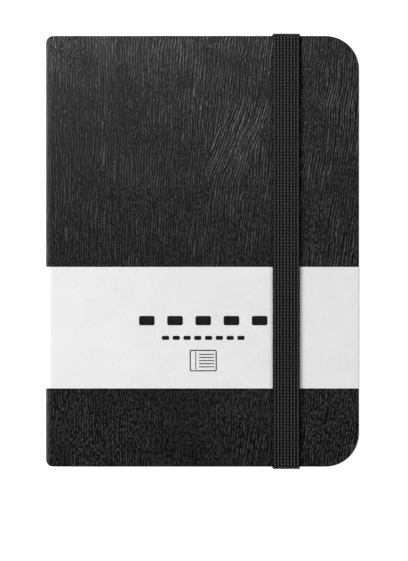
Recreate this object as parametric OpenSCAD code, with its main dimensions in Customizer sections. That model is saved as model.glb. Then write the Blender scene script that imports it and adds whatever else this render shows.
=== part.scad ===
// Pocket notebook: a case-bound block of sewn sections in a wrapped board cover, with an elastic
// closure strap and a folded paper band. It lies on its back cover. X runs from the spine to the
// fore-edge, Y from the bottom edge to the top edge and Z through the thickness. The strap is moulded
// here in its closed place, and every hinge line lies along Y.

/* [Cover] */
// Width of the closed cover, from the spine's outer face to the fore-edge
cover_w = 80; // [70:1:100]
// Height of the cover along the spine
cover_h = 110; // [95:1:150]
// Radius of the two fore-edge corners
corner_r = 8.6; // [5:0.1:12]
// Thickness of the grey boards in the cover and the spine
board_t = 1.2; // [1:0.1:2]
// Thickness of the embossed skin wrapped round the boards
skin_t = 0.35; // [0.3:0.05:0.5]
// Width of the skin's turned-in margin inside the cover
turn_in = 12; // [8:1:16]
// How far the spine board stops short of the cover's top and bottom edges
spine_board_gap = 1.6; // [1:0.1:3]
// How far the spine board stops short of the two hinge lines
spine_board_play = 0.03; // [0:0.01:0.1]

/* [Text block] */
// Thickness of one sewn section of folded sheets
section_t = 0.8; // [0.6:0.1:1.2]
// Distance that the cover stands out past the leaves on three sides
square_w = 3; // [2:0.5:5]
// Thickness of the endpapers
endpaper_t = 0.12; // [0.1:0.01:0.2]
// Number of sewing stations along the spine
stations = 5; // [3:1:7]

/* [Elastic strap] */
// Width of the strap
strap_w = 6.7; // [5:0.1:10]
// Thickness of the strap
strap_t = 0.6; // [0.5:0.1:1]
// Distance from the spine's outer face to the middle of the strap
strap_from_spine = 61.4; // [50:0.1:64]
// Length of each strap end glued inside the back cover
anchor_l = 15; // [8:1:20]

/* [Paper band] */
// Height of the band along the cover
band_h = 31; // [20:1:40]
// Distance from the cover's bottom edge to the band's lower edge
band_from_bottom = 20; // [16:1:40]
// Thickness of the band's paper
band_t = 0.15; // [0.1:0.01:0.2]
// Length of the flap tucked inside each cover
flap_l = 45; // [30:1:60]

/* [Hidden] */
$fn = 64;

section_count = 12;
paper_gap = 0.02;      // between the band and the cover that it is wrapped round
flap_gap = 0.05;       // on each side of a tucked flap
section_gap = 0.01;    // between two sections of the closed block
strap_gap = 0.05;      // between the strap and what it crosses
lining_t = 0.25;       // gauze and paper glued over the sewn spine
thread_r = 0.12;       // sewing thread
turn_in_t = 0.3;       // the turned-in margin, pressed into the board
pocket_play = 0.1;     // beside each glued strap end
pastedown_setback = 0.6;   // from a hinge line to the pastedown's edge
pastedown_margin = 0.5;    // how far a pastedown stands out past the leaves
lining_play = 0.05;    // on each side of the spine lining and its thread
thread_play = 0.03;    // between the lining and the thread
lining_inset = 4;      // from the leaves' top and bottom edges to the lining
first_station = 8;     // from the leaves' bottom edge to the first sewing station
thread_spread = 0.6;   // half the distance between a station's two runs of thread
thread_inset = 0.2;    // from the outer faces of the block to the thread's ends
cut_past = 1;          // how far a cutting shape reaches past what it cuts

cover_t = skin_t + board_t;
section_pitch = section_t + section_gap;
flap_space = band_t + 2 * flap_gap;
pocket_depth = strap_t + strap_gap;

// Heights of the stack, from the band's lowest face up
back_z = band_t + paper_gap;
back_inner_z = back_z + cover_t;
back_flyleaf_z = back_inner_z + endpaper_t + flap_space;
block_z = back_flyleaf_z + endpaper_t + section_gap;
front_flyleaf_z = block_z + section_count * section_pitch;
front_pastedown_z = front_flyleaf_z + endpaper_t + flap_space;
front_inner_z = front_pastedown_z + endpaper_t;
front_z = front_inner_z + cover_t;
band_top_z = front_z + paper_gap + band_t;
strap_z = band_top_z + strap_gap;

// Places along X, from the spine's outer face to the fore-edge
spine_x = -cover_w / 2;
fore_x = cover_w / 2;
hinge_x = spine_x + cover_t;
lining_x = hinge_x + lining_play;
thread_x = lining_x + lining_t + thread_play + thread_r;
block_x = thread_x + thread_r + lining_play;
strap_x = spine_x + strap_from_spine;

// Places along Y
half_h = cover_h / 2;
block_half_h = half_h - square_w;
band_y = -half_h + band_from_bottom;

skin_colour = [0.13, 0.13, 0.14];
board_colour = [0.52, 0.5, 0.46];
paper_colour = [0.94, 0.92, 0.86];
band_colour = [0.95, 0.95, 0.94];
strap_colour = [0.07, 0.07, 0.07];
thread_colour = [0.85, 0.84, 0.8];

// A leaf or board: square at the spine, round at the two fore-edge corners
module leaf_outline(left, right, half, r) {
    translate([left, -half]) square([right - r - left, 2 * half]);
    translate([right - r, r - half]) square([r, 2 * (half - r)]);
    for (side = [-1, 1])
        translate([right - r, side * (half - r)]) circle(r);
}

module cover_outline(inset) {
    leaf_outline(hinge_x, fore_x - inset, half_h - inset, corner_r - inset);
}

// The cavity that the strap's glued ends lie in, and the slits that they leave by
module strap_pockets() {
    left = strap_x - strap_w / 2 - pocket_play;
    length = anchor_l + 2 * cut_past;
    for (side = [-1, 1])
        translate([left, side * (half_h - anchor_l / 2) - length / 2, cover_t - pocket_depth])
            cube([strap_w + 2 * pocket_play, length, pocket_depth + cut_past]);
}

// Outer skin of one cover, outer face down at z = 0: a face, three walls and the turned-in margin
module wrapped_skin() {
    linear_extrude(skin_t) cover_outline(0);
    difference() {
        linear_extrude(cover_t) cover_outline(0);
        translate([0, 0, -cut_past]) linear_extrude(cover_t + 2 * cut_past) cover_outline(skin_t);
    }
    translate([0, 0, cover_t - turn_in_t]) difference() {
        linear_extrude(turn_in_t) cover_outline(0);
        translate([0, 0, -cut_past]) linear_extrude(turn_in_t + 2 * cut_past) turn_in_window();
    }
}

module turn_in_window() {
    translate([hinge_x - cut_past, turn_in - half_h])
        square([fore_x - turn_in - hinge_x + cut_past, cover_h - 2 * turn_in]);
}

// Board of one cover, sunk at its margin by the turned-in skin's thickness
module cover_board() {
    translate([0, 0, skin_t]) linear_extrude(board_t - turn_in_t) cover_outline(skin_t);
    translate([0, 0, cover_t - turn_in_t]) linear_extrude(turn_in_t)
        intersection() {
            cover_outline(skin_t);
            turn_in_window();
        }
}

module pastedown() {
    edge = square_w - pastedown_margin;
    linear_extrude(endpaper_t)
        leaf_outline(hinge_x + pastedown_setback, fore_x - edge, half_h - edge, corner_r - edge);
}

module block_leaf(t) {
    linear_extrude(t) leaf_outline(block_x, fore_x - square_w, block_half_h, corner_r - square_w);
}

module at_front() {
    translate([0, 0, front_z]) mirror([0, 0, 1]) children();
}

module at_back() {
    translate([0, 0, back_z]) children();
}

module back_skin() {
    color(skin_colour) at_back() difference() {
        wrapped_skin();
        strap_pockets();
    }
}

module back_board() {
    color(board_colour) at_back() difference() {
        cover_board();
        strap_pockets();
    }
}

module back_pastedown() {
    color(paper_colour) translate([0, 0, back_inner_z]) pastedown();
}

module back_flyleaf() {
    color(paper_colour) translate([0, 0, back_flyleaf_z]) block_leaf(endpaper_t);
}

module front_skin() {
    color(skin_colour) at_front() wrapped_skin();
}

module front_board() {
    color(board_colour) at_front() cover_board();
}

module front_pastedown() {
    color(paper_colour) translate([0, 0, front_pastedown_z]) pastedown();
}

module front_flyleaf() {
    color(paper_colour) translate([0, 0, front_flyleaf_z]) block_leaf(endpaper_t);
}

module spine_board() {
    foot_z = back_inner_z + spine_board_play;
    color(board_colour) translate([spine_x + skin_t, spine_board_gap - half_h, foot_z])
        cube([board_t, cover_h - 2 * spine_board_gap, front_inner_z - spine_board_play - foot_z]);
}

// The skin over the spine board, with its turned ends at the top and bottom edges
module spine_skin() {
    color(skin_colour) translate([0, 0, back_inner_z]) {
        translate([spine_x, -half_h, 0])
            cube([skin_t, cover_h, front_inner_z - back_inner_z]);
        for (end_y = [-half_h, half_h - skin_t])
            translate([spine_x, end_y, 0])
                cube([cover_t, skin_t, front_inner_z - back_inner_z]);
    }
}

// A quarter of a tube about a hinge line, from the spine's face round to a cover's face
module corner_strip(outer_r, thickness, y, h, quarter) {
    translate([hinge_x, y + h, 0]) rotate([90, 0, 0]) rotate([0, 0, quarter])
        rotate_extrude(angle = 90) translate([outer_r - thickness, 0]) square([thickness, h]);
}

front_quarter = 90;
back_quarter = 180;

module front_joint_skin() {
    color(skin_colour) translate([0, 0, front_inner_z])
        corner_strip(cover_t, skin_t, -half_h, cover_h, front_quarter);
}

module back_joint_skin() {
    color(skin_colour) translate([0, 0, back_inner_z])
        corner_strip(cover_t, skin_t, -half_h, cover_h, back_quarter);
}

module spine_lining() {
    color(thread_colour) translate([lining_x, lining_inset - block_half_h, block_z])
        cube([lining_t, 2 * (block_half_h - lining_inset), front_flyleaf_z - block_z]);
}

// Two runs of thread at each station link the folds of all the sections
module sewing_thread() {
    first_y = first_station - block_half_h;
    pitch = -2 * first_y / (stations - 1);
    color(thread_colour) for (i = [0 : stations - 1], side = [-1, 1])
        translate([thread_x, first_y + i * pitch + side * thread_spread, block_z + thread_inset])
            cylinder(r = thread_r, h = front_flyleaf_z - block_z - 2 * thread_inset);
}

// One sewn section, counted from the front: its sheets, and the round fold at the spine
module section(number) {
    color(paper_colour) translate([0, 0, block_z + (section_count - number) * section_pitch]) {
        fold_x = block_x + section_t / 2;
        linear_extrude(section_t)
            leaf_outline(fold_x, fore_x - square_w, block_half_h, corner_r - square_w);
        translate([fold_x, block_half_h, section_t / 2]) rotate([90, 0, 0])
            cylinder(d = section_t, h = 2 * block_half_h);
    }
}

// A strap end, glued between the board and the endpaper and coming out at the cover's edge
module elastic_anchor(side) {
    outer_y = half_h + strap_gap + strap_t;
    start_y = side > 0 ? half_h - anchor_l : -outer_y;
    color(strap_colour) translate([strap_x - strap_w / 2, start_y, back_inner_z - strap_t])
        cube([strap_w, outer_y - half_h + anchor_l, strap_t]);
}

module elastic_anchor_top() {
    elastic_anchor(1);
}

module elastic_anchor_bottom() {
    elastic_anchor(-1);
}

module elastic_side(side) {
    near_y = half_h + strap_gap;
    start_y = side > 0 ? near_y : -near_y - strap_t;
    foot_z = back_inner_z + paper_gap;
    color(strap_colour) translate([strap_x - strap_w / 2, start_y, foot_z])
        cube([strap_w, strap_t, strap_z - foot_z]);
}

module elastic_side_top() {
    elastic_side(1);
}

module elastic_side_bottom() {
    elastic_side(-1);
}

module elastic_strap() {
    reach = half_h + strap_gap + strap_t;
    color(strap_colour) translate([strap_x - strap_w / 2, -reach, strap_z])
        cube([strap_w, 2 * reach, strap_t]);
}

// Half of the paper band, outer face down at z = 0: a panel, the fold at the fore-edge and the flap
module band_half(flap_z) {
    panel_l = fore_x + paper_gap + band_t - hinge_x;
    translate([hinge_x, band_y, 0]) {
        cube([panel_l, band_h, band_t]);
        translate([panel_l - band_t, 0, 0]) cube([band_t, band_h, flap_z + band_t]);
        translate([panel_l - flap_l, 0, flap_z]) cube([flap_l, band_h, band_t]);
    }
}

// Height of a flap above the outer face of its own panel
flap_rise = band_t + paper_gap + cover_t + endpaper_t + flap_gap;

module band_back() {
    color(band_colour) band_half(flap_rise);
}

module band_front() {
    color(band_colour) translate([0, 0, band_top_z]) mirror([0, 0, 1]) band_half(flap_rise);
}

module band_spine() {
    color(band_colour) translate([spine_x - paper_gap - band_t, band_y, back_inner_z])
        cube([band_t, band_h, front_inner_z - back_inner_z]);
}

fold_r = cover_t + paper_gap + band_t;

module band_front_fold() {
    color(band_colour) translate([0, 0, front_inner_z])
        corner_strip(fold_r, band_t, band_y, band_h, front_quarter);
}

module band_back_fold() {
    color(band_colour) translate([0, 0, back_inner_z])
        corner_strip(fold_r, band_t, band_y, band_h, back_quarter);
}

back_board();
back_skin();
back_pastedown();
back_flyleaf();
front_board();
front_skin();
front_pastedown();
front_flyleaf();
spine_board();
spine_skin();
front_joint_skin();
back_joint_skin();
spine_lining();
sewing_thread();
section(1);  // section_01
section(2);  // section_02
section(3);  // section_03
section(4);  // section_04
section(5);  // section_05
section(6);  // section_06
section(7);  // section_07
section(8);  // section_08
section(9);  // section_09
section(10);  // section_10
section(11);  // section_11
section(12);  // section_12
elastic_anchor_top();
elastic_anchor_bottom();
elastic_side_top();
elastic_side_bottom();
elastic_strap();
band_front();
band_spine();
band_back();
band_front_fold();
band_back_fold();
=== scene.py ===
# %% [markdown]
# # A pocket notebook, modelled piece by piece
# The notebook lies closed on its back cover. Its measured frame comes from the CAD model. The boards, the
# glued endpapers, the lining and the thread are kept from there, because they are exact flat pieces. The
# skin, the leaves, the strap and the paper band are modelled here round them. Everything is in metres: X
# runs from the spine to the fore-edge, Y up the page and Z through the thickness.

# %% Load the measured frame
import math
import random
from contextlib import contextmanager

import bmesh
import bpy
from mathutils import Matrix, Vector


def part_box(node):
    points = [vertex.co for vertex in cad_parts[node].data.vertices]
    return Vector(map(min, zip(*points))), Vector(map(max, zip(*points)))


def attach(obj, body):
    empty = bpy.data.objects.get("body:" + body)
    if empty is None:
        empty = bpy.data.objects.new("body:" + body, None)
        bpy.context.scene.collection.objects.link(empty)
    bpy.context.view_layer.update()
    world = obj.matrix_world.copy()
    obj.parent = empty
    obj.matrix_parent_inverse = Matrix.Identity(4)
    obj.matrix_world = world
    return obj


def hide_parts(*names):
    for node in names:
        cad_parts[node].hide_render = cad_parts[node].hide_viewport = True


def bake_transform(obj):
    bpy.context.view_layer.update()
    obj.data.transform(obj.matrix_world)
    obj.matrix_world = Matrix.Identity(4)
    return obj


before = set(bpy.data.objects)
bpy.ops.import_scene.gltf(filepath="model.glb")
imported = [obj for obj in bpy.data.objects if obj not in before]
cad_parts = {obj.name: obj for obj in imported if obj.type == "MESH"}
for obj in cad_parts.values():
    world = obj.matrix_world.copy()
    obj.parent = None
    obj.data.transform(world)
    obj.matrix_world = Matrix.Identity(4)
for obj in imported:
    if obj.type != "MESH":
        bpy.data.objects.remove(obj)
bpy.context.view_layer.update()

# %% [markdown]
# ## Measures
# A maker keeps one list of measures on the bench. It could be typed in, but here each measure is read off a
# CAD node, so that the pieces fit round the boards. Only the skin's thickness and the sizes of its rounds
# are chosen here. Millimetres are easy to think in, so the list is in millimetres, and one number turns
# them into metres. Two places that are as near as a hundredth of a millimetre count as the same.

# %% Take the measures off the CAD nodes
MM = 0.001
near = 0.01


def measured(node, axis, side):
    """The lowest (side 0) or highest (side 1) place of a CAD node along an axis, in millimetres."""
    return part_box(node)[side]["xyz".index(axis)] / MM


fore_edge = measured("front_skin", "x", 1)
spine_face = measured("spine_skin", "x", 0)
hinge_x = measured("front_skin", "x", 0)
head = measured("front_skin", "y", 1)
front_inner = measured("front_skin", "z", 0)
front_outer = measured("front_skin", "z", 1)
back_inner = measured("back_skin", "z", 1)
back_outer = measured("back_skin", "z", 0)
middle_z = (front_outer + back_outer) / 2
cover_t = front_outer - front_inner
skin_t = 0.33
corner_r = 8.6
spine_corner_r = 1.8
rim_r = 0.45
inner_rim_r = 0.25
print(f"cover {fore_edge - spine_face:.2f} x {2 * head:.2f} x {front_outer - back_outer:.2f} mm")
print(f"hinge line at x = {hinge_x:.2f} mm, half the thickness at z = {middle_z:.2f} mm")

# %% [markdown]
# ## Small tools for the bench
# Each piece starts as a primitive and is shaped in edit mode, as by hand. By hand one clicks on faces and
# edges. A script picks them by their place or by the way they face. These helpers do the picking, so that
# the later cells read like a list of moves.

# %% Helpers for picking and shaping
def only(piece):
    """Deselect everything, then select one piece and make it the active one."""
    bpy.ops.object.select_all(action="DESELECT")
    piece.select_set(True)
    bpy.context.view_layer.objects.active = piece
    return piece


@contextmanager
def editing(piece):
    """Hold a piece in edit mode for as long as the block lasts."""
    only(piece)
    bpy.ops.object.mode_set(mode="EDIT")
    yield bmesh.from_edit_mesh(piece.data)
    bpy.ops.object.mode_set(mode="OBJECT")


def middle(part):
    """The middle of a vertex, edge or face, in millimetres."""
    if isinstance(part, bmesh.types.BMVert):
        return part.co / MM
    points = [v.co for v in part.verts]
    return sum(points, Vector()) / len(points) / MM


def pick(kind, test):
    """In edit mode, select only the verts, edges or faces that pass the test, and say how many."""
    bpy.ops.mesh.select_mode(type={"verts": "VERT", "edges": "EDGE", "faces": "FACE"}[kind])
    bpy.ops.mesh.select_all(action="DESELECT")
    mesh = bmesh.from_edit_mesh(bpy.context.object.data)
    chosen = [part for part in getattr(mesh, kind) if test(part)]
    for part in chosen:
        part.select_set(True)
    bmesh.update_edit_mesh(bpy.context.object.data)
    return len(chosen)


def span(edge):
    """An edge from end to end, in millimetres, without its sign."""
    return Vector(abs(n) for n in (edge.verts[1].co - edge.verts[0].co)) / MM

# %% [markdown]
# The moves are the usual ones: slide, extrude, spin, cut, bevel and mirror. Typed out, each is a long call
# with its own units and angles, so each gets a short name here and takes millimetres and degrees.

# %% Helpers for the moves
def slide(x=0, y=0, z=0):
    """Move what is selected by millimetres."""
    bpy.ops.transform.translate(value=(x * MM, y * MM, z * MM))


def pull(x=0, y=0, z=0):
    """Extrude what is selected and move the new part by millimetres."""
    bpy.ops.mesh.extrude_region_move(TRANSFORM_OT_translate={"value": (x * MM, y * MM, z * MM)})


def round_corners(radius, segments):
    """Bevel the corners of a flat sheet that are selected, with a radius in millimetres."""
    bpy.ops.mesh.bevel(offset=radius * MM, segments=segments, affect="VERTICES")


def round_edges(radius, segments):
    """Bevel the edges that are selected, with a radius in millimetres."""
    bpy.ops.mesh.bevel(offset=radius * MM, segments=segments, affect="EDGES", clamp_overlap=True)


def swing(degrees, x, z, steps):
    """Spin what is selected about a line along Y through (x, z), in millimetres. Plus turns Z towards -X."""
    bpy.ops.mesh.spin(steps=steps, angle=math.radians(degrees), center=(x * MM, 0, z * MM), axis=(0, 1, 0))


def cut(axis, at):
    """Cut all of the piece by a plane square to an axis, at a place in millimetres."""
    bpy.ops.mesh.select_mode(type="VERT")
    bpy.ops.mesh.select_all(action="SELECT")
    square = [float(name == axis) for name in "xyz"]
    bpy.ops.mesh.bisect(plane_co=[n * at * MM for n in square], plane_no=square)


def turn_round(piece):
    """Mirror all of a piece in the plane half way through the notebook's thickness."""
    with editing(piece):
        bpy.ops.mesh.select_all(action="SELECT")
        bpy.ops.transform.mirror(constraint_axis=(False, False, True), center_override=(0, 0, middle_z * MM))


def merge():
    """Merge the points that lie on each other."""
    bpy.ops.mesh.select_all(action="SELECT")
    bpy.ops.mesh.remove_doubles(threshold=0.0005 * MM)


def face_out():
    """Turn all faces outwards."""
    bpy.ops.mesh.select_all(action="SELECT")
    bpy.ops.mesh.normals_make_consistent(inside=False)

# %% [markdown]
# Each modifier is applied as soon as it is set, because a plain mesh can be cut and bent further. A new
# piece starts from a primitive whose place and size are put into its mesh at once. Its object then sits at
# the origin, as the CAD's pieces do, and a pattern on its own coordinates stays where it belongs.

# %% Helpers for starting and finishing a piece
def finish_with(piece, kind, **settings):
    """Add a modifier with its settings and apply it."""
    only(piece)
    modifier = piece.modifiers.new(kind.lower(), kind)
    for name, value in settings.items():
        setattr(modifier, name, value)
    bpy.ops.object.modifier_apply(modifier=modifier.name)


def thicken(piece, thickness):
    """Give a thin sheet its thickness in millimetres, half to each side."""
    finish_with(piece, "SOLIDIFY", thickness=thickness * MM, offset=0)


def settle(piece, name):
    """Name a new primitive and put its place and size into its mesh."""
    piece.name = piece.data.name = name
    bpy.ops.object.transform_apply(location=True, rotation=True, scale=True)
    return piece


def block(name, low, high):
    """A cube primitive from its low to its high corner, in millimetres."""
    low, high = Vector(low) * MM, Vector(high) * MM
    bpy.ops.mesh.primitive_cube_add(size=1, location=(low + high) / 2)
    bpy.context.object.scale = high - low
    return settle(bpy.context.object, name)


def sheet_of(name, low, high, z):
    """A plane primitive from its low to its high corner at height z, in millimetres."""
    low, high = Vector((*low, z)) * MM, Vector((*high, z)) * MM
    bpy.ops.mesh.primitive_plane_add(size=1, location=(low + high) / 2)
    bpy.context.object.scale = (high.x - low.x, high.y - low.y, 1)
    return settle(bpy.context.object, name)


def own_copy(piece, name):
    """A copy with its own mesh."""
    twin = piece.copy()
    twin.data = piece.data.copy()
    twin.name = twin.data.name = name
    bpy.context.scene.collection.objects.link(twin)
    return twin


def join(pieces):
    """Join pieces into the first one."""
    only(pieces[0])
    for piece in pieces:
        piece.select_set(True)
    bpy.ops.object.join()
    return pieces[0]


def smooth(piece, degrees=40):
    """Smooth shading, with edges kept where the faces turn by more than an angle."""
    only(piece)
    bpy.ops.object.shade_smooth_by_angle(angle=math.radians(degrees))


def size_of(piece):
    """The size of a piece in millimetres, for the prints."""
    return " x ".join(f"{n / MM:.2f}" for n in piece.dimensions) + f" mm, {len(piece.data.polygons)} faces"

# %% [markdown]
# A pattern that follows a surface needs a map of it. Blender can unwrap a mesh by guessing, but the way
# along each of these pieces is known, so a small rule gives the map exactly.

# %% Helper for maps
def lay_run(piece, name, run):
    """Give the piece a UV map in metres, from a rule that turns a point in millimetres into (u, v)."""
    layer = piece.data.uv_layers.new(name=name)
    for loop in piece.data.loops:
        u, v = run(piece.data.vertices[loop.vertex_index].co / MM)
        layer.data[loop.index].uv = (u * MM, v * MM)


# %% [markdown]
# ## Camera
# A notebook on a table is looked at from straight above. A wide lens close by would show its sides too, so
# a long lens a metre away is used, which keeps the sides parallel. The lens follows from how high the view
# is to be at the cover.

# %% Camera
camera_distance = 1.0
view_height = 0.14318
view_middle = (0.0004, -0.00746)
camera_data = bpy.data.cameras.new("view_from_above")
camera_data.sensor_fit = "VERTICAL"
camera_data.sensor_height = 36
camera_data.lens = camera_data.sensor_height * camera_distance / view_height
camera_data.clip_start = 0.05
camera_data.clip_end = 20
camera = bpy.data.objects.new("view_from_above", camera_data)
camera.location = (*view_middle, front_outer * MM + camera_distance)
bpy.context.scene.collection.objects.link(camera)
bpy.context.scene.camera = camera
bpy.context.scene.view_settings.view_transform = "Standard"
print(f"lens {camera_data.lens:.0f} mm")

# %% [markdown]
# ## Light and floor
# Black skin is a hard thing to light: a large lamp that glints on it turns it grey all over. So the two
# large soft boxes only light the colours and don't glint, and one small low soft box to the upper left only
# glints. It makes the sheen that fades towards the lower right. The sky looks pale to the camera but is dim
# as a light, so that it doesn't fill the shade. The floor is a hair below the notebook, and has room all
# round.

# %% Soft studio light and the floor
light_target = Vector((0, 0, 0.01))
sky_as_light, sky_as_seen = 0.10, 0.85
floor_half, floor_z = 1500, -0.02


def softbox(name, stand, size, power):
    """A square area light that stands at a point and is turned to the notebook."""
    light = bpy.data.lights.new(name, "AREA")
    light.size = size
    light.energy = power
    lamp = bpy.data.objects.new(name, light)
    lamp.location = stand
    lamp.visible_camera = False
    lamp.rotation_euler = (light_target - Vector(stand)).to_track_quat("-Z", "Y").to_euler()
    bpy.context.scene.collection.objects.link(lamp)
    return lamp


softbox("key_softbox", (-0.68, 0.12, 0.44), 0.40, 9.0).visible_glossy = False
softbox("fill_softbox", (0.60, -0.30, 0.55), 0.60, 4.2).visible_glossy = False
softbox("sheen_softbox", (-0.068, 0.091, 0.102), 0.07, 0.38).visible_diffuse = False
sky = bpy.data.worlds.new("pale_sky")
sky.use_nodes = True
sky.node_tree.nodes["Background"].inputs["Color"].default_value = (1, 1, 1, 1)
seen = sky.node_tree.nodes.new("ShaderNodeLightPath").outputs["Is Camera Ray"]
strength = sky.node_tree.nodes.new("ShaderNodeMapRange")
strength.inputs["To Min"].default_value = sky_as_light
strength.inputs["To Max"].default_value = sky_as_seen
sky.node_tree.links.new(seen, strength.inputs["Value"])
sky.node_tree.links.new(strength.outputs[0], sky.node_tree.nodes["Background"].inputs["Strength"])
bpy.context.scene.world = sky

floor = sheet_of("floor", (-floor_half, -floor_half), (floor_half, floor_half), floor_z)
print("lights:", ", ".join(light.name for light in bpy.data.lights))

# %% [markdown]
# ## The skin of the covers
# A case-bound notebook is wrapped in one piece of embossed skin. It runs over the front board, bends round
# the joint, covers the spine, bends again and covers the back, and its margins are turned in over the edges
# of the boards. It could be a flat sheet folded by simulation, but its shape is exact, so it is built up
# from a slab. The slab is as thick as the wrapped cover, and its side at the joint is swung round the hinge
# line and drawn down half the spine.

# %% The front half as a solid slab with its rounded spine
case_front = block("case_front", (hinge_x, -head, front_inner), (fore_edge, head, front_outer))
with editing(case_front):
    pick("edges", lambda e: span(e).z > 1 and middle(e).x > fore_edge - 1)
    round_edges(corner_r, 18)
    pick("faces", lambda f: f.normal.x < -0.9 and middle(f).x < hinge_x + near)
    swing(90, hinge_x, front_inner, 14)
    pull(z=middle_z - front_inner)
    bpy.ops.mesh.delete(type="ONLY_FACE")
    merge()
    face_out()
print("slab:", size_of(case_front))

# %% [markdown]
# The skin is pulled tight over the boards, so its rims are rounded by little more than its own thickness.
# One bevel over the whole slab would round the bend at the joint too, so the rim edges are picked as the
# ones where the faces turn sharply. The spine's own corners are rounder when seen from above. There the
# slab's ends are drawn in along a quarter circle, which is one small rule on the points near the spine.

# %% Round the rims and the corners of the spine
bend_cuts = (1.2, 0.5)
spine_cut = 0.75
sharp_turn = math.radians(50)


def is_rim(edge):
    """An edge where two faces of the slab meet sharply and outwards."""
    return len(edge.link_faces) == 2 and edge.is_convex and edge.calc_face_angle() > sharp_turn


def under_board(edge):
    """Whether an edge lies on the inner side of the cover."""
    return abs(middle(edge).z - front_inner) < near and middle(edge).x > hinge_x


def behind_spine(edge):
    """Whether an edge lies on the inner side of the spine."""
    return abs(middle(edge).x - hinge_x) < near and middle(edge).z < front_inner


with editing(case_front):
    for at in (*(hinge_x + beside for beside in bend_cuts), spine_face + spine_cut):
        cut("x", at)
    outer = pick("edges", lambda e: is_rim(e) and not under_board(e) and not behind_spine(e))
    round_edges(rim_r, 4)
    inner = pick("edges", lambda e: is_rim(e) and under_board(e) and middle(e).x > hinge_x + bend_cuts[0])
    round_edges(inner_rim_r, 3)
    merge()
for vertex in case_front.data.vertices:
    x, y, _ = vertex.co / MM
    run_in = (spine_face + spine_corner_r - x) / spine_corner_r
    straight = head - spine_corner_r
    if run_in > 0 and abs(y) > straight:
        drawn = straight + (abs(y) - straight) * math.sqrt(max(0, 1 - min(run_in, 1) ** 2))
        vertex.co.y = math.copysign(drawn, y) * MM
print(f"rims: {outer} outer and {inner} inner edges;", size_of(case_front))

# %% [markdown]
# The back half is the same shape turned over, so it is a mirrored copy. Inside a real cover the skin is
# only a margin turned in over the board, and the rest is open. A boolean could cut that window, but it
# leaves untidy faces, so the slab is cut by planes along the margins and the faces between them are
# deleted. The same is done for the slits that let the strap into the back cover. Last, the shell gets the
# skin's thickness.

# %% The back half, the window inside and the slits for the strap
turn_in = 12
strap_low = measured("elastic_strap", "x", 0)
strap_high = measured("elastic_strap", "x", 1)
anchor_low = measured("elastic_anchor_top", "z", 0)
anchor_end = measured("elastic_anchor_top", "y", 0)
slit_play = 0.06
slit_low, slit_high = strap_low - slit_play, strap_high + slit_play
slit_z = anchor_low - slit_play


def in_window(face, inner_z, facing):
    """Whether a face closes the window between the turned-in margins."""
    spot = middle(face)
    inside_margins = abs(spot.y) < head - turn_in and spot.x < fore_edge - turn_in
    on_cover = abs(spot.z - inner_z) < near and face.normal.z * facing > 0.9
    on_spine = abs(spot.x - hinge_x) < near and face.normal.x > 0.9
    return inside_margins and (on_cover or on_spine)


case_back = own_copy(case_front, "case_back")
turn_round(case_back)
with editing(case_back):
    face_out()
for half, inner_z, facing in ((case_front, front_inner, -1), (case_back, back_inner, 1)):
    with editing(half):
        for axis, at in (("y", head - turn_in), ("y", turn_in - head), ("x", fore_edge - turn_in)):
            cut(axis, at)
        pick("faces", lambda f: in_window(f, inner_z, facing))
        bpy.ops.mesh.delete(type="FACE")
with editing(case_back):
    for axis, at in (("x", slit_low), ("x", slit_high), ("z", slit_z)):
        cut(axis, at)
    pick("faces", lambda f: slit_low < middle(f).x < slit_high and middle(f).z > slit_z)
    bpy.ops.mesh.delete(type="FACE")
for half in (case_front, case_back):
    finish_with(half, "SOLIDIFY", thickness=skin_t * MM, offset=-1, use_even_offset=True)
    print(half.name, size_of(half))

# %% [markdown]
# The grain of the skin must run on without a break from the front over the spine to the back. Object
# coordinates would cut it off at each edge, so the skin gets a UV map laid out as the flat sheet was before
# wrapping: u is the distance along the sheet from the front hinge, and v is the height on the cover. The
# skin bends where the covers turn.

# %% Unrolled map, and each half's place put into its mesh
joint_arc = cover_t * math.pi / 2
spine_run = front_inner - back_inner
seam_zone = 0.3  # this close to a cover, the skin behind the spine counts as part of the cover


def skin_run(point):
    """How far along the flat sheet a point of the skin lies, and how high."""
    x, y, z = point
    over_rim = 0
    if abs(y) > head - 0.001 or x > fore_edge - 0.001:
        over_rim = min(abs(z - front_outer), abs(z - back_outer))
    if z >= front_inner - seam_zone and x >= hinge_x:
        u = joint_arc + x - hinge_x
    elif z <= back_inner + seam_zone and x >= hinge_x:
        u = -spine_run - joint_arc - (x - hinge_x)
    elif z > front_inner:
        u = cover_t * math.atan2(z - front_inner, hinge_x - x)
    elif z < back_inner:
        u = -spine_run - cover_t * math.atan2(back_inner - z, hinge_x - x)
    else:
        u = z - front_inner
    return u, y + math.copysign(over_rim, y)


def bend_at_front_hinge(piece):
    """Put the place of a piece that passes round the front hinge line into its mesh."""
    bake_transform(piece)


def bend_at_back_hinge(piece):
    """Put the place of a piece that passes round the back hinge line into its mesh."""
    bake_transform(piece)


for half in (case_front, case_back):
    smooth(half, 35)
    lay_run(half, "skin_run", skin_run)
bend_at_front_hinge(case_front)
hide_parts("front_skin", "front_joint_skin", "spine_skin")
bend_at_back_hinge(case_back)
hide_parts("back_skin", "back_joint_skin")
print(f"sheet runs {joint_arc + fore_edge - hinge_x:.1f} mm over the front")

# %% [markdown]
# ## The leaves
# The block is sewn from twelve sections. A section is four sheets, folded in half and laid into each other,
# so it shows eight leaves at the fore-edge and four folds at the spine. The block could be a solid with
# lines painted on it, but the leaves fan out when the book is opened. So each sheet is modelled: a plane is
# the lower leaf, its spine side is swung round by half a turn, and the upper leaf is pulled out of it. The
# cutter rounds the two fore-edge corners. Cuts near the spine give the leaf enough points to bend there.

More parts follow.
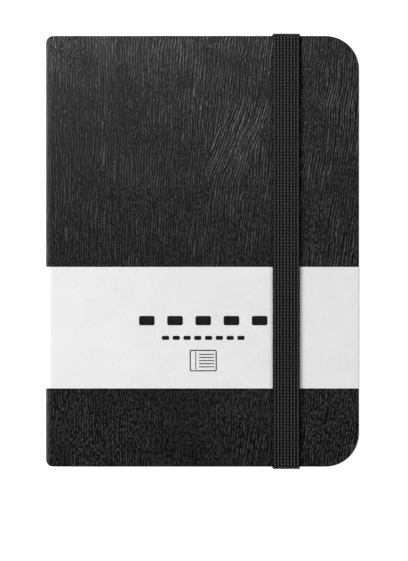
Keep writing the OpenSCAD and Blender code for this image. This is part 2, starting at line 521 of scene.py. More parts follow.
# %% One folded section
leaf_edge = measured("section_06", "x", 1)
leaf_head = measured("section_06", "y", 1)
block_spine = measured("section_06", "x", 0)
section_low = measured("section_12", "z", 0)
section_t = measured("section_12", "z", 1) - section_low
section_pitch = measured("section_11", "z", 0) - section_low
leaf_setback = 3
leaf_corner_r = corner_r - leaf_setback
leaf_corner_steps = 12
sheets_in_section = 4
leaf_share = 0.86
leaf_pitch = section_t / (2 * sheets_in_section)
leaf_t = leaf_pitch * leaf_share
bend_columns = [0.3, 0.7, 1.2, 1.8, 2.5, 3.3, 4.2, 5.2, 6.3, 7.5, 8.8, 10.2, 11.7, 13.3]


def trim_leaf(start_x):
    """Round the fore-edge corners of the leaf that is being edited, and cut it where it has to bend."""
    pick("verts", lambda v: middle(v).x > leaf_edge - near)
    round_corners(leaf_corner_r, leaf_corner_steps)
    for beyond in bend_columns:
        cut("x", start_x + beyond)


def folded_sheet(number):
    """A folded sheet of the lowest section. Number 0 is the outermost."""
    middle_of_section = section_low + section_t / 2
    reach = (sheets_in_section - 0.5 - number) * leaf_pitch
    fold_x = block_spine + section_t / 2
    sheet = sheet_of("sheet", (fold_x, -leaf_head), (leaf_edge, leaf_head), middle_of_section - reach)
    with editing(sheet):
        pick("edges", lambda e: middle(e).x < fold_x + near)
        swing(180, fold_x, middle_of_section, 8)
        pull(x=leaf_edge - fold_x)
        trim_leaf(fold_x)
    thicken(sheet, leaf_t)
    return sheet


lowest_section = join([folded_sheet(number) for number in range(sheets_in_section)])
smooth(lowest_section)
print("a section:", size_of(lowest_section))

# %% [markdown]
# Twelve copies make the block. An array would be quicker, but a sewn block is never perfectly even, so each
# copy is shifted by a few hundredths of a millimetre. Nine sections stay on the back cover when the book is
# opened, and three go over with the front cover. All of them keep hold of the spine.

# %% Twelve sections
random.seed(12)
uneven_x, uneven_y = 0.05, 0.04
page_run = "page_run"
section_count = 12
turned = {1: "leaves_a", 2: "leaves_b", 3: "leaves_c"}
depth_stretch = 9


def bind(piece, body):
    """Put the place of a leaf or a section into its mesh, the same way for every body."""
    if body == "back_cover":
        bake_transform(piece)
    else:
        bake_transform(piece)


def mark_depth(piece):
    """Store how deep in the stack each point lies, and which faces are cut edges."""
    depth = piece.data.attributes.new("depth_in_stack", "FLOAT", "POINT")
    for vertex in piece.data.vertices:
        depth.data[vertex.index].value = vertex.co.z * depth_stretch
    trimmed = piece.data.attributes.new("trimmed_edge", "FLOAT", "FACE")
    for face in piece.data.polygons:
        trimmed.data[face.index].value = float(abs(face.normal.z) < 0.5)


for number in range(1, section_count + 1):
    section = own_copy(lowest_section, f"folded_section_{number:02d}")
    lift = section_pitch * (section_count - number)
    with editing(section):
        bpy.ops.mesh.select_all(action="SELECT")
        slide(x=random.uniform(-uneven_x, 0), y=random.uniform(-uneven_y, uneven_y), z=lift)
    lay_run(section, page_run, lambda point: (point.x, point.y))
    mark_depth(section)
    bind(section, turned.get(number, "back_cover"))
    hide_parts(f"section_{number:02d}")
bpy.data.objects.remove(lowest_section)
print(section_count, "sections bound,", 2 * sheets_in_section * section_count, "leaves")

# %% [markdown]
# A flyleaf is the free half of an endpaper. It is a heavier sheet than a leaf and lies loose on the block.
# The CAD node is a stiff plate that couldn't bend at the spine, so a sheet with the same cuts as a leaf
# replaces it.

# %% Two flyleaves
for name, body in (("front_flyleaf", "leaves_a"), ("back_flyleaf", "back_cover")):
    low, high = measured(name, "z", 0), measured(name, "z", 1)
    start_x = measured(name, "x", 0)
    leaf = sheet_of("loose_" + name, (start_x, -leaf_head), (leaf_edge, leaf_head), (low + high) / 2)
    with editing(leaf):
        trim_leaf(start_x)
    thicken(leaf, high - low)
    smooth(leaf)
    lay_run(leaf, page_run, lambda point: (point.x, point.y))
    bind(leaf, body)
    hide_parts(name)
    print(leaf.name, size_of(leaf))

# %% [markdown]
# ## The elastic strap
# The strap is one length of ribbed webbing, a little under seven millimetres wide. It runs up the front,
# turns over the top and bottom edges, goes down the sides of the block and ends in the pockets of the back
# board. A plain band with lines painted on it would look flat from the side, so the ribs are real. A narrow
# grid has its columns raised in the shape of eight ribs, and its ends are then swung and pulled along the
# strap's way.

# %% A ribbed ribbon along the strap's way
strap_w = strap_high - strap_low
strap_t = measured("elastic_strap", "z", 1) - measured("elastic_strap", "z", 0)
strap_z = measured("elastic_strap", "z", 0) + strap_t / 2
side_y = (measured("elastic_side_top", "y", 0) + measured("elastic_side_top", "y", 1)) / 2
anchor_z = (anchor_low + measured("elastic_anchor_top", "z", 1)) / 2
strap_ribs = 8
rib_profile = [0.0, 0.55, 0.92, 1.0, 0.92, 0.55]
rib_rise = 0.20
turn_r = 0.85
turn_y = side_y - turn_r
turn_top = strap_z - turn_r
turn_bottom = anchor_z + turn_r
side_pulls = 16

rib_columns = len(rib_profile)
columns = strap_ribs * rib_columns
start = Vector(((strap_low + strap_high) / 2, 0, strap_z - rib_rise / 2)) * MM
bpy.ops.mesh.primitive_grid_add(x_subdivisions=columns, y_subdivisions=1, size=1, location=start)
bpy.context.object.scale = (strap_w * MM, 2 * turn_y * MM, 1)
strap = settle(bpy.context.object, "ribbed_strap")


def turn_over(degrees, y, z):
    """Spin what is selected about a line along X through (y, z), in millimetres."""
    bpy.ops.mesh.spin(steps=8, angle=math.radians(degrees), center=(0, y * MM, z * MM), axis=(1, 0, 0))


with editing(strap):
    for step, height in enumerate(rib_profile):
        pick("verts", lambda v: round((middle(v).x - strap_low) / strap_w * columns) % rib_columns == step)
        slide(z=height * rib_rise)
    cut("y", 0)
    for side in (-1, 1):
        pick("edges", lambda e: e.is_boundary and span(e).x > near and middle(e).y * side > turn_y - near)
        turn_over(90 * side, side * turn_y, turn_top)
        for _ in range(side_pulls):
            pull(z=(turn_bottom - turn_top) / side_pulls)
        turn_over(90 * side, side * turn_y, turn_bottom)
        pull(y=side * (anchor_end - turn_y))
    merge()
thicken(strap, strap_t - rib_rise)
smooth(strap, 60)
print("strap:", size_of(strap))

# %% [markdown]
# The webbing's stitches follow the strap round its turns, so it gets a UV map along its way, as the skin
# has. The strap leaves the back cover's pockets and slides over the front cover when it is pulled off.


def strap_run(point):
    """How far across the webbing a point lies, and how far along it from the middle of the front."""
    x, y, z = point
    quarter = turn_r * math.pi / 2
    if abs(y) < turn_y and z > middle_z:
        along = abs(y)
    elif z > turn_top:
        along = turn_y + turn_r * math.atan2(abs(y) - turn_y, z - turn_top)
    elif z > turn_bottom:
        along = turn_y + quarter + turn_top - z
    else:
        along = turn_y + quarter + turn_top - anchor_z + turn_y - abs(y)
    return x - strap_low, math.copysign(along, y)


lay_run(strap, "strap_run", strap_run)
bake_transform(strap)
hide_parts("elastic_strap", "elastic_side_top", "elastic_side_bottom", "elastic_anchor_top",
            "elastic_anchor_bottom")
print(f"webbing from pocket to pocket: {2 * strap_run((0, anchor_end, anchor_z))[1]:.0f} mm")

# %% [markdown]
# ## The paper band
# A strip of stiff white paper is wrapped round the lower half of the covers, with a flap folded inside each
# of them. A box with sharp edges would do from afar, but paper folds with a small round, never with a
# knife-sharp line. So the strip is a thin sheet that is pulled and swung from fold to fold and then gets
# its thickness. As with the skin, the back half is a mirrored copy of the front half.

# %% The strip from the spine over the front and into the cover
band_low = measured("band_front", "y", 0)
band_high = measured("band_front", "y", 1)
band_t = measured("band_spine", "x", 1) - measured("band_spine", "x", 0)
band_z = measured("band_front", "z", 1) - band_t / 2
flap_z = measured("band_front", "z", 0) + band_t / 2
flap_length = 45
flap_end = measured("band_front", "x", 1) - flap_length
wall_x = measured("band_front", "x", 1) - band_t / 2
fold_r = 0.475
fold_x = wall_x - fold_r
joint_cuts = (0.5, 1.1, 1.8, 2.6)
round_end = 1.5  # how far down the spine the bend at the joint reaches

band_front = sheet_of("band_over_front", (hinge_x, band_low), (fold_x, band_high), band_z)
with editing(band_front):
    for beyond in joint_cuts:
        cut("x", hinge_x + beyond)
    pick("edges", lambda e: e.is_boundary and middle(e).x > fold_x - near)
    swing(-90, fold_x, band_z - fold_r, 8)
    pull(z=flap_z - band_z + 2 * fold_r)
    swing(-90, fold_x, flap_z + fold_r, 8)
    pull(x=flap_end - fold_x)
    pick("edges", lambda e: e.is_boundary and abs(middle(e).x - hinge_x) < near and middle(e).z > front_inner)
    swing(90, hinge_x, front_inner, 14)
    pull(z=-round_end)
    pull(z=middle_z - front_inner + round_end)
band_back = own_copy(band_front, "band_over_back")
turn_round(band_back)
with editing(band_back):
    bpy.ops.mesh.select_all(action="SELECT")
    bpy.ops.mesh.flip_normals()
for strip in (band_front, band_back):
    thicken(strip, band_t)
    smooth(strip)
    lay_run(strip, "band_run", lambda point: (point.x - (point.z if point.x > fold_x else 0), point.y))
    print(strip.name, size_of(strip))
bend_at_front_hinge(band_front)
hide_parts("band_front", "band_front_fold", "band_spine")
bend_at_back_hinge(band_back)
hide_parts("band_back", "band_back_fold")

# %% [markdown]
# ## What is printed on the band
# The band carries a line of strong marks, a line of small dashes and a little picture of a ruled page. They
# say nothing and belong to no maker. They could be a mask in the band's finish, but a shape with its own
# edge stays crisp from every side, so the ink is laid on as plates about a hundredth of a millimetre high.

# %% Bars, dashes and a ruled page in ink
ink_t = 0.015
ink_z = band_z + band_t / 2 + ink_t / 2
ink_x = 0.2
bar_y, dash_y, page_y = -17.7, -22.1, -27.9


def evenly(count, pitch, about=0.0):
    """Places at an even pitch, with their middle at a given place."""
    return [about + pitch * (n - (count - 1) / 2) for n in range(count)]


def ink_plate(x, y, wide, high, corner, line=0):
    """A thin plate of ink with rounded corners, centred on (x, y). With a line width it becomes a frame."""
    plate = sheet_of("ink", (x - wide / 2, y - high / 2), (x + wide / 2, y + high / 2), ink_z)
    with editing(plate):
        bpy.ops.mesh.select_all(action="SELECT")
        round_corners(corner, 5)
        if line:
            bpy.ops.mesh.select_all(action="SELECT")
            bpy.ops.mesh.inset(thickness=line * MM)
            bpy.ops.mesh.delete(type="FACE")
    thicken(plate, ink_t)
    return plate


bars = [ink_plate(x, bar_y, wide=4.0, high=2.4, corner=0.5) for x in evenly(5, 7.2, ink_x)]
dashes = [ink_plate(x, dash_y, wide=1.85, high=1.05, corner=0.35) for x in evenly(8, 2.75, ink_x)]
page = [ink_plate(ink_x, page_y, wide=6.9, high=5.5, corner=0.45, line=0.28),
        ink_plate(ink_x - 1.9, page_y, wide=0.2, high=4.6, corner=0.06)]
page += [ink_plate(ink_x + 0.85, y, wide=3.9, high=0.24, corner=0.1) for y in evenly(5, 0.8, page_y)]
prints = [join(bars), join(dashes), join(page)]
for piece, name in zip(prints, ("ink_bars", "ink_dashes", "ink_ruled_page")):
    piece.name = piece.data.name = name
    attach(piece, "band_cover")
    print(name, size_of(piece))

# %% [markdown]
# ## Finishes: how the node helpers work
# A finish is a small network of nodes. By hand one would drag them in and wire them up. Here one helper
# adds a node and fills its inputs, and a few short ones name the nodes that are used most. Patterns such as
# paper fibre, a weave or the wear and painted sheen on a rim are put into node groups with named inputs, so
# that one group can serve many finishes. The surface shader stays in the material, with its plain values on
# its own sockets.

# %% Helpers for nodes
def feed(tree, pairs):
    """Fill sockets with numbers or with links. The pairs are (socket, value)."""
    for socket, value in pairs:
        if isinstance(value, bpy.types.NodeSocket):
            tree.links.new(value, socket)
        else:
            socket.default_value = value


def place(tree, kind, inputs=None, **settings):
    """Add a node with its settings and its inputs."""
    node = tree.nodes.new(kind)
    for name, value in settings.items():
        setattr(node, name, value)
    feed(tree, ((node.inputs[name], value) for name, value in (inputs or {}).items()))
    return node


def calc(tree, operation, *values, clamp=False):
    """A Math node's result."""
    node = place(tree, "ShaderNodeMath", operation=operation, use_clamp=clamp)
    feed(tree, zip(node.inputs, values))
    return node.outputs[0]


def times(tree, *values, clamp=False):
    """Two values multiplied."""
    return calc(tree, "MULTIPLY", *values, clamp=clamp)


def plus(tree, *values):
    """Two values added."""
    return calc(tree, "ADD", *values)


def less(tree, *values):
    """One value less another."""
    return calc(tree, "SUBTRACT", *values)


def over(tree, *values):
    """One value divided by another."""
    return calc(tree, "DIVIDE", *values)


def apart(tree, vector):
    """The X, Y and Z of a vector."""
    return place(tree, "ShaderNodeSeparateXYZ", {"Vector": vector}).outputs


def vector_of(tree, x, y, z=0.0):
    """A vector put together from its parts."""
    return place(tree, "ShaderNodeCombineXYZ", {"X": x, "Y": y, "Z": z}).outputs[0]


def between(tree, factor, first, second):
    """A value between two others."""
    return place(tree, "ShaderNodeMix", {"Factor": factor, "A": first, "B": second}).outputs[0]


def attribute(tree, name):
    """The value of a named attribute of the piece."""
    return place(tree, "ShaderNodeAttribute", attribute_name=name).outputs["Fac"]


def uv(tree, name):
    """A named UV map of the piece."""
    return place(tree, "ShaderNodeUVMap", uv_map=name).outputs[0]

# %% Helpers for masks and colours
def stretch(tree, value, low, high, to_low=0.0, to_high=1.0, kind="SMOOTHSTEP"):
    """Map a value from one range to another, softly."""
    return place(tree, "ShaderNodeMapRange", {"Value": value, "From Min": low, "From Max": high,
                                              "To Min": to_low, "To Max": to_high},
                 interpolation_type=kind).outputs[0]


def blend_colour(tree, factor, first, second):
    """A colour between two others. They are sockets 6 and 7 of the Mix node, and output 2 is the result."""
    node = place(tree, "ShaderNodeMix", data_type="RGBA")
    feed(tree, ((node.inputs[0], factor), (node.inputs[6], first), (node.inputs[7], second)))
    return node.outputs[2]


def grey(level, warm=0.0):
    """A colour of one lightness, a little warmer or cooler."""
    return (level * (1 + warm), level, level * (1 - warm), 1)


def noise(tree, vector, scale=1.0, detail=2.0, roughness=0.5, flat=False):
    """The value of a noise texture."""
    return place(tree, "ShaderNodeTexNoise", {"Vector": vector, "Scale": scale, "Detail": detail,
                                              "Roughness": roughness},
                 noise_dimensions="2D" if flat else "3D").outputs[0]

# %% [markdown]
# A group is a network that is made once and used in many finishes. Its sockets are named, and it only puts
# out masks, values and heights that change over the surface, so that each finish can still be exported.

# %% Helpers for groups
def new_group(name, inputs, outputs):
    """An empty shader group with its sockets. Inputs are (name, kind, value), outputs are (name, kind)."""
    tree = bpy.data.node_groups.new(name, "ShaderNodeTree")
    for label, kind, value in inputs:
        socket = tree.interface.new_socket(label, in_out="INPUT", socket_type="NodeSocket" + kind)
        if value is not None:
            socket.default_value = value
    for label, kind in outputs:
        tree.interface.new_socket(label, in_out="OUTPUT", socket_type="NodeSocket" + kind)
    return tree, tree.nodes.new("NodeGroupInput").outputs, tree.nodes.new("NodeGroupOutput")


def give(tree, end, **results):
    """Link results to the group's outputs."""
    for name, value in results.items():
        tree.links.new(value, end.inputs[name.replace("_", " ")])


def use_group(tree, group, inputs):
    """Place a group with its own values and return its outputs."""
    return place(tree, "ShaderNodeGroup", inputs, node_tree=group).outputs

# %% [markdown]
# A finish is a material with one surface shader. Values that are the same all over stay on the shader's own
# sockets, and only what changes over the surface is linked.

# %% Helpers for finishes
def finish(name, roughness, **values):
    """A new material with its surface shader, the shader's plain values set on its own sockets."""
    material = bpy.data.materials.new(name)
    material.use_nodes = True
    shader = material.node_tree.nodes["Principled BSDF"]
    shader.inputs["Roughness"].default_value = roughness
    for label, value in values.items():
        shader.inputs[label.replace("_", " ")].default_value = value
    return material, material.node_tree, shader


def colour_with(tree, shader, colour):
    """Link a colour to the shader."""
    tree.links.new(colour, shader.inputs["Base Color"])


def relief(tree, shader, height, depth):
    """Let a height in 0 to 1 raise the surface by a depth in millimetres."""
    bump = place(tree, "ShaderNodeBump", {"Height": height, "Distance": depth * MM, "Strength": 1.0})
    tree.links.new(bump.outputs[0], shader.inputs["Normal"])


def dress(material, *names):
    """Give a material to new pieces or CAD nodes, in place of what they had."""
    for name in names:
        mesh = (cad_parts.get(name) or bpy.data.objects[name]).data
        mesh.materials.clear()
        mesh.materials.append(material)
    print(material.name, "on", len(names), "pieces")


# %% [markdown]
# ## The embossed wood grain
# The skin is a coated paper, pressed with a roller that was cut after a piece of wood. Fine ridges run up
# the cover about 0.7 mm apart, broken into strokes. In one place they lean over and run round a swirl, and
# lower down many of them are only short dashes. Modelled ridges would need millions of faces, so they are a
# height for the bump and a mask for the colour, which paints shade into the grooves between them. Even waves
# are pushed out of step by slow noise, which makes them wander, fork and join as wood fibres do. The swirl is
# an oval patch where the waves follow another, curled line.

# %% Where the ridges run: straight up the cover, or round the swirl
wood_grain, given, end = new_group(
    "embossed_wood_grain",
    [("Run", "Vector", None), ("Ridge Pitch", "Float", 0.00070), ("Lean", "Float", 0.12),
     ("Swirl Lean", "Float", 0.27), ("Wander", "Float", 0.0014), ("Forking", "Float", 1.5),
     ("Dashes", "Float", 0.7)],
    [("Height", "Float"), ("Crest", "Float"), ("Tone", "Float")])
tree = wood_grain
swirl_u, swirl_v = 0.0493, 0.0272
swirl_half_width, swirl_half_height, swirl_tilt = 0.0062, 0.0150, 0.35
curl_reach, curl_rate = 0.0007, 200.0
across, up = apart(tree, given["Run"])[:2]
above = less(tree, up, swirl_v)
drift = times(tree, less(tree, noise(tree, given["Run"], 90, 1.5, flat=True), 0.5), given["Wander"])
leaning = times(tree, stretch(tree, across, 0.020, 0.050), given["Lean"])
straight_line = plus(tree, less(tree, across, times(tree, above, leaning)), drift)
curl = times(tree, calc(tree, "SINE", times(tree, above, curl_rate)), curl_reach)
curled = plus(tree, times(tree, above, given["Swirl Lean"]), curl)
swirl_line = less(tree, plus(tree, across, drift), curled)
sideways = less(tree, less(tree, across, swirl_u), times(tree, above, swirl_tilt))
ragged = times(tree, less(tree, noise(tree, given["Run"], 260, 2, flat=True), 0.5), 0.9)
reach = calc(tree, "SQRT", plus(
    tree, calc(tree, "POWER", over(tree, sideways, swirl_half_width), 2.0),
    calc(tree, "POWER", over(tree, above, swirl_half_height), 2.0)))
in_swirl = stretch(tree, plus(tree, reach, ragged), 1.15, 0.75)
print(f"swirl at {swirl_u / MM:.1f} mm from the hinge, {swirl_v / MM:.1f} mm above the middle")

# %% [markdown]
# With the lines known, three patterns are laid along them: long ridges, short dashes, and a mask that
# breaks both into strokes. Patches of slow noise decide where dashes take the place of ridges, with a
# larger share low down.

# %% Ridges, dashes and strokes along those lines
dash_wide, dash_long = 0.00021, 0.00085
stroke_wide, stroke_long = 0.00065, 0.0012
fork_wide, fork_long = 0.0011, 0.009
swirl_seed = 40.0


def along_line(line, wide, long, seed=0.0):
    """Where to look noise up, so that its spots are as wide and long as given along a line."""
    return vector_of(tree, over(tree, line, wide), plus(tree, over(tree, up, long), seed))


def ridges_along(line, seed):
    """Even ridges across a line, pushed out of step by slow noise."""
    slow = noise(tree, along_line(line, fork_wide, fork_long, seed), 1, 2.5, 0.55, flat=True)
    waves = plus(tree, over(tree, line, given["Ridge Pitch"]), times(tree, slow, given["Forking"]))
    return times(tree, calc(tree, "PINGPONG", waves, 0.5), 2.0)


ridges = between(tree, in_swirl, ridges_along(straight_line, 0.0), ridges_along(swirl_line, swirl_seed))
short = noise(tree, along_line(straight_line, dash_wide, dash_long), 1, 2, 0.6, flat=True)
dash = stretch(tree, short, 0.36, 0.64)
patches = stretch(tree, noise(tree, given["Run"], 110, 2, 0.5, flat=True), 0.40, 0.62, 0.25, 0.7)
low_down = times(tree, stretch(tree, up, 0.018, -0.022), 0.30)
share = times(tree, plus(tree, low_down, patches), given["Dashes"], clamp=True)
share = times(tree, share, less(tree, 1.0, times(tree, in_swirl, 0.6)))
strokes = noise(tree, along_line(straight_line, stroke_wide, stroke_long), 1, 2, 0.6, flat=True)
broken = stretch(tree, strokes, 0.30, 0.56, 0.56, 1.0)
pressed = times(tree, between(tree, share, ridges, dash), broken)
# The Crest mask lets the skin's colour paint shade into the grooves. The Height is a real bump.
give(tree, end, Height=stretch(tree, pressed, 0.15, 0.85), Crest=stretch(tree, pressed, 0.42, 0.74),
     Tone=noise(tree, given["Run"], 45, 3, 0.6, flat=True))
print(wood_grain.name, len(tree.nodes), "nodes")

# %% [markdown]
# ## Wear and painted sheen on the rims
# Rims are handled most, so the coating is a little polished and scuffed there. The lighter colour on the rims
# is that wear and also a painted sheen on the rounded edges. A bevel node could find them in every render
# anew. An attribute does it once: it keeps how far a point's normal leans away from the three main
# directions, which it only does where an edge is rounded. A group breaks the rims up with noise into a mask.

# %% Group: worn rims with painted sheen, and the attribute that feeds it
rim_gain = 3.4


def mark_rims(*pieces):
    """Store on each point how much it lies on a rounded edge, from 0 to 1."""
    for piece in pieces:
        rims = piece.data.attributes.new("rim", "FLOAT", "POINT")
        for vertex in piece.data.vertices:
            rims.data[vertex.index].value = min(1, rim_gain * (1 - max(abs(n) for n in vertex.normal)))


worn_and_sheened_rims, given, end = new_group(
    "worn_and_sheened_rims",
    [("Where", "Vector", None), ("Rim", "Float", 0.0), ("Break Up", "Float", 900.0),
     ("Amount", "Float", 0.5)],
    [("Wear", "Float")])
tree = worn_and_sheened_rims
patchy = stretch(tree, noise(tree, given["Where"], given["Break Up"], 3, 0.6), 0.35, 0.7)
# The Wear mask carries both the wear and a painted sheen on the rims.
give(tree, end, Wear=times(tree, times(tree, given["Rim"], patchy), given["Amount"], clamp=True))
mark_rims(case_front, case_back)
print("rims marked on", case_front.name, "and", case_back.name)

# %% [markdown]
# ## The skin's finish
# Black coated paper isn't one black. Its crests are a dark grey with more shine, and the coating is a little
# cloudy. The grooves get a painted shade, near black, for the light they swallow. One dark colour with a
# strong bump would turn grey all over under soft light. So the crest mask mixes the grooves' painted shade
# with the crests' grey, a slow noise mixes a duller and a lighter pair of them, and the shine follows the
# height.

# %% The skin's finish
# The groove colour is painted shade. The grey on the rims is wear with a painted sheen.
groove_painted_shade, crest_dull, crest_light, scuffed_and_sheen = grey(0.0001), grey(0.044), grey(0.058), grey(0.07)
groove_rough, crest_rough, scuff_polish = 0.50, 0.24, 0.08
grain_depth = 0.19
skin, tree, shader = finish("black_embossed_skin", 0.42, Specular_IOR_Level=0.25)
run = uv(tree, "skin_run")
grain = use_group(tree, wood_grain, {"Run": run})
wear_and_sheen = use_group(tree, worn_and_sheened_rims, {"Where": run, "Rim": attribute(tree, "rim"), "Break Up": 1500.0,
                                   "Amount": 0.5})["Wear"]
# In both pairs the groove colour, near black, is painted shade in the grooves of the grain.
dull = blend_colour(tree, grain["Crest"], groove_painted_shade, crest_dull)
light = blend_colour(tree, grain["Crest"], grey(0.0002), crest_light)
mottled = blend_colour(tree, stretch(tree, grain["Tone"], 0.3, 0.7), dull, light)
rough = stretch(tree, grain["Height"], 0, 1, groove_rough, crest_rough, kind="LINEAR")
# The rims get a lighter grey, partly wear and partly painted sheen.
colour_with(tree, shader, blend_colour(tree, wear_and_sheen, mottled, scuffed_and_sheen))
tree.links.new(less(tree, rough, times(tree, wear_and_sheen, scuff_polish)), shader.inputs["Roughness"])
relief(tree, shader, grain["Height"], grain_depth)
dress(skin, "case_front", "case_back")

# %% [markdown]
# ## Papers and boards
# The white band, the endpapers, the leaves and the grey boards are all made of fibres pressed into a sheet.
# They differ in colour, in how coarse the fibres are and in how cloudy the sheet looks against the light.
# Each could get its own network, but they are kin, so one group makes fibres out of two stretched noises
# that cross each other, and a cloud from a slow noise. The leaves and the band read their own UV maps, so
# that the fibres turn with the sheet.

# %% Group: pressed paper fibres
paper_fibres, given, end = new_group(
    "pressed_fibres",
    [("Where", "Vector", None), ("Fibre Size", "Float", 0.0006), ("Cloud Size", "Float", 0.01)],
    [("Fibres", "Float"), ("Cloud", "Float")])
tree = paper_fibres
scaled = place(tree, "ShaderNodeVectorMath", {"Vector": given["Where"], "Scale": over(
    tree, 1.0, given["Fibre Size"])}, operation="SCALE").outputs[0]
strands = []
for turn in (0.5, 2.1):
    lain = place(tree, "ShaderNodeMapping", {"Vector": scaled, "Rotation": (0.2, 0.3, turn),
                                             "Scale": (1.0, 0.28, 1.0)})
    strands.append(noise(tree, lain.outputs[0], 1.6, 3, 0.6))
fibres = times(tree, plus(tree, *strands), 0.5)
cloudy = noise(tree, given["Where"], over(tree, 1.0, given["Cloud Size"]), 3, 0.55)
give(tree, end, Fibres=stretch(tree, fibres, 0.36, 0.64), Cloud=stretch(tree, cloudy, 0.3, 0.7))
print(paper_fibres.name, len(tree.nodes), "nodes")

# %% Plain papers and boards
fibre_share, cloud_share = 0.55, 0.45


def paper(name, dark, light, fibre, cloud, roughness, depth, run=None, warm=0.0, gloss=0.3):
    """A paper finish between two levels of grey, with its fibre and cloud sizes in millimetres."""
    material, tree, shader = finish(name, roughness, Specular_IOR_Level=gloss)
    if run:
        where = vector_of(tree, *apart(tree, uv(tree, run))[:2], attribute(tree, "depth_in_stack"))
    else:
        where = place(tree, "ShaderNodeTexCoord").outputs["Object"]
    sheet = use_group(tree, paper_fibres,
                      {"Where": where, "Fibre Size": fibre * MM, "Cloud Size": cloud * MM})
    mix = plus(tree, times(tree, sheet["Fibres"], fibre_share), times(tree, sheet["Cloud"], cloud_share))
    relief(tree, shader, sheet["Fibres"], depth)
    return material, tree, shader, where, blend_colour(tree, mix, grey(dark, warm), grey(light, warm))


def plain_paper(pieces, *values, **more):
    """A paper finish with nothing drawn on it, given to its pieces."""
    material, tree, shader, _, colour = paper(*values, **more)
    colour_with(tree, shader, colour)
    dress(material, *pieces)


plain_paper(("band_over_front", "band_over_back"), "white_band_paper", 0.72, 0.78, fibre=0.5, cloud=9,
            roughness=0.7, depth=0.012, run="band_run", gloss=0.08)
plain_paper(("front_pastedown", "back_pastedown", "loose_front_flyleaf", "loose_back_flyleaf"),
            "cream_endpaper", 0.62, 0.71, fibre=0.6, cloud=7, roughness=0.75, depth=0.015, warm=0.05)
plain_paper(("front_board", "back_board", "spine_board"), "grey_board", 0.16, 0.27, fibre=0.8, cloud=5,
            roughness=0.9, depth=0.05, warm=0.04)

# %% [markdown]
# The leaves are ruled with pale lines for writing. Thin strips of mesh would do, but there are nearly two
# hundred pages, so the lines are part of the paper's colour: a narrow mask every six millimetres, kept
# inside the margins. The cut edges of a block show its leaves as fine dark streaks, the shade in the gaps
# between them. The gaps between the leaves here are real but only hundredths of a millimetre high, so that
# shade is painted: a noise layered over the depth in the stack, kept to the cut faces, darkens the colour
# there.

# %% Ruled leaves, with painted shade between them on the trimmed edges
line_gap, line_half = 0.006, 0.00006
line_colour, line_strength = (0.22, 0.25, 0.30, 1), 0.55
margin_up, margin_across = (-0.003, 0.0425), (0.001, 0.031)
gap_shade_length, gap_shade_rate, gap_shade_strength = 25.0, 420.0, 0.75
painted_gap_shade = grey(0.30, 0.05)
leaf_paper, tree, shader, where, colour = paper(
    "ruled_leaf_paper", 0.68, 0.75, fibre=0.5, cloud=8, roughness=0.8, depth=0.01, run=page_run, warm=0.03)
page_across, page_up, page_depth = apart(tree, where)
on_line = calc(tree, "LESS_THAN", calc(tree, "PINGPONG", page_up, line_gap / 2), line_half)
in_margins = times(tree, calc(tree, "COMPARE", page_up, *margin_up),
                   calc(tree, "COMPARE", page_across, *margin_across))
ruled = blend_colour(tree, times(tree, times(tree, on_line, in_margins), line_strength), colour, line_colour)
# Painted shade of the gaps between the leaves, on the cut faces only.
layered = vector_of(tree, times(tree, page_across, gap_shade_length), times(tree, page_up, gap_shade_length),
                    times(tree, page_depth, gap_shade_rate))
gap_shade_noise = stretch(tree, noise(tree, layered, 1, 4, 0.75), 0.35, 0.65)
shade = times(tree, times(tree, gap_shade_noise, attribute(tree, "trimmed_edge")), gap_shade_strength)
colour_with(tree, shader, blend_colour(tree, shade, ruled, painted_gap_shade))
dress(leaf_paper, *(f"folded_section_{number:02d}" for number in range(1, section_count + 1)))

# %% [markdown]
# ## Ink
# Printing ink on rough paper is a matt black that shows a trace of the fibres below. A pure black would
# look cut out, so it is made as one more paper, nearly black and with little gloss.

# %% Printing ink
plain_paper(("ink_bars", "ink_dashes", "ink_ruled_page"), "printing_ink", 0.004, 0.012, fibre=0.4, cloud=3,
            roughness=0.6, depth=0.006, gloss=0.12)

# %% [markdown]
# ## Elastic webbing
# The strap is woven of rubber cores wrapped in black yarn. Each rib shows a row of small slanted stitches
# that meet in a V on every other rib. The ribs are real, but the stitches are under a millimetre long, so
# they are a pattern on the strap's own map: stripes along it whose start is shifted by how far across a rib
# they lie. The valleys between the ribs get a painted shade, black, and the crowns stay lighter.

# %% Group: yarn laid in slanted stitches
yarn, given, end = new_group(
    "slanted_yarn",
    [("Run", "Vector", None), ("Rib Pitch", "Float", 0.001), ("Stitch", "Float", 0.0008),
     ("Slant", "Float", 1.0)],
    [("Height", "Float"), ("Crown", "Float")])
tree = yarn
run_across, run_along = apart(tree, given["Run"])[:2]
ribs_across = over(tree, run_across, given["Rib Pitch"])
shifted = times(tree, calc(tree, "PINGPONG", ribs_across, 1.0), given["Slant"])
slanted = plus(tree, over(tree, run_along, given["Stitch"]), shifted)
stitches = stretch(tree, calc(tree, "PINGPONG", slanted, 0.5), 0.06, 0.40)
fuzz = noise(tree, given["Run"], 5200, 3, 0.65, flat=True)
# Crown falls to nothing in the valleys between the ribs, where the strap's colour paints shade.
give(tree, end, Height=plus(tree, times(tree, stitches, 0.75), times(tree, fuzz, 0.25)),
     Crown=stretch(tree, calc(tree, "PINGPONG", ribs_across, 0.5), 0.08, 0.45))
print(yarn.name, len(tree.nodes), "nodes")
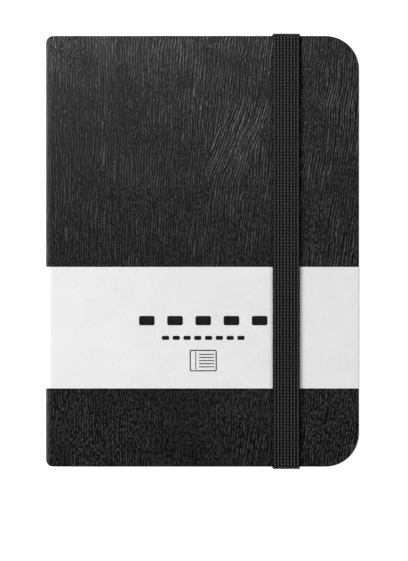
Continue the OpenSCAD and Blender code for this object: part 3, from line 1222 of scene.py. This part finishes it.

# %% The strap's finish
# The valley colour is painted shade between the ribs.
rib_valley_painted_shade, yarn_light = grey(0.0001), grey(0.080)
webbing, tree, shader = finish("black_elastic_webbing", 0.6, Specular_IOR_Level=0.12)
laid = use_group(tree, yarn, {"Run": uv(tree, "strap_run"), "Rib Pitch": strap_w / strap_ribs * MM,
                              "Stitch": 0.0008, "Slant": 0.8})
# The stitch pattern, darkened by painted shade in the valleys between the ribs.
stitches_and_rib_shade = times(tree, laid["Height"], laid["Crown"])
colour_with(tree, shader, blend_colour(tree, stitches_and_rib_shade, rib_valley_painted_shade, yarn_light))
relief(tree, shader, laid["Height"], 0.20)
dress(webbing, "ribbed_strap")

# %% [markdown]
# ## Gauze and thread
# The gauze behind the block and the sewing thread are seen only when the notebook is opened, but they get
# their own weave all the same. Both are the CAD's own pieces. A woven cloth is threads that cross over and
# under, so the higher of two sets of stripes is taken at each place, with some lint from the paper fibres.

# %% Gauze on the spine and waxed thread
def woven(name, pitch, dark, light, roughness, depth):
    """A plain weave on the object's own place, with its pitch in millimetres."""
    material, tree, shader = finish(name, roughness, Specular_IOR_Level=0.3)
    where = place(tree, "ShaderNodeTexCoord").outputs["Object"]
    warp, weft = (calc(tree, "PINGPONG", over(tree, along, pitch * MM), 0.5)
                  for along in apart(tree, where)[1:])
    threads = calc(tree, "MAXIMUM", warp, weft)
    lint = use_group(tree, paper_fibres,
                     {"Where": where, "Fibre Size": 0.0004, "Cloud Size": 0.004})["Fibres"]
    amount = times(tree, stretch(tree, threads, 0.15, 0.45), plus(tree, times(tree, lint, 0.4), 0.6))
    colour_with(tree, shader, blend_colour(tree, amount, grey(dark, 0.04), grey(light, 0.04)))
    relief(tree, shader, threads, depth)
    return material


dress(woven("lining_gauze", 0.7, 0.30, 0.62, roughness=0.85, depth=0.06), "spine_lining")
dress(woven("waxed_thread", 0.25, 0.45, 0.70, roughness=0.5, depth=0.03), "sewing_thread")

# %% [markdown]
# ## The floor's finish
# A sheet of white studio paper fades into pure white under the notebook. More light would do it too, but it
# would wash out the skin, so the floor glows a little by itself and keeps only the soft shade next to the
# covers.

# %% The floor's finish
floor_glow = 0.62
pale_floor, tree, shader = finish("pale_floor", 0.9, Specular_IOR_Level=0.1, Base_Color=grey(0.9),
                                  Emission_Color=grey(1.0), Emission_Strength=floor_glow)
dress(pale_floor, "floor")
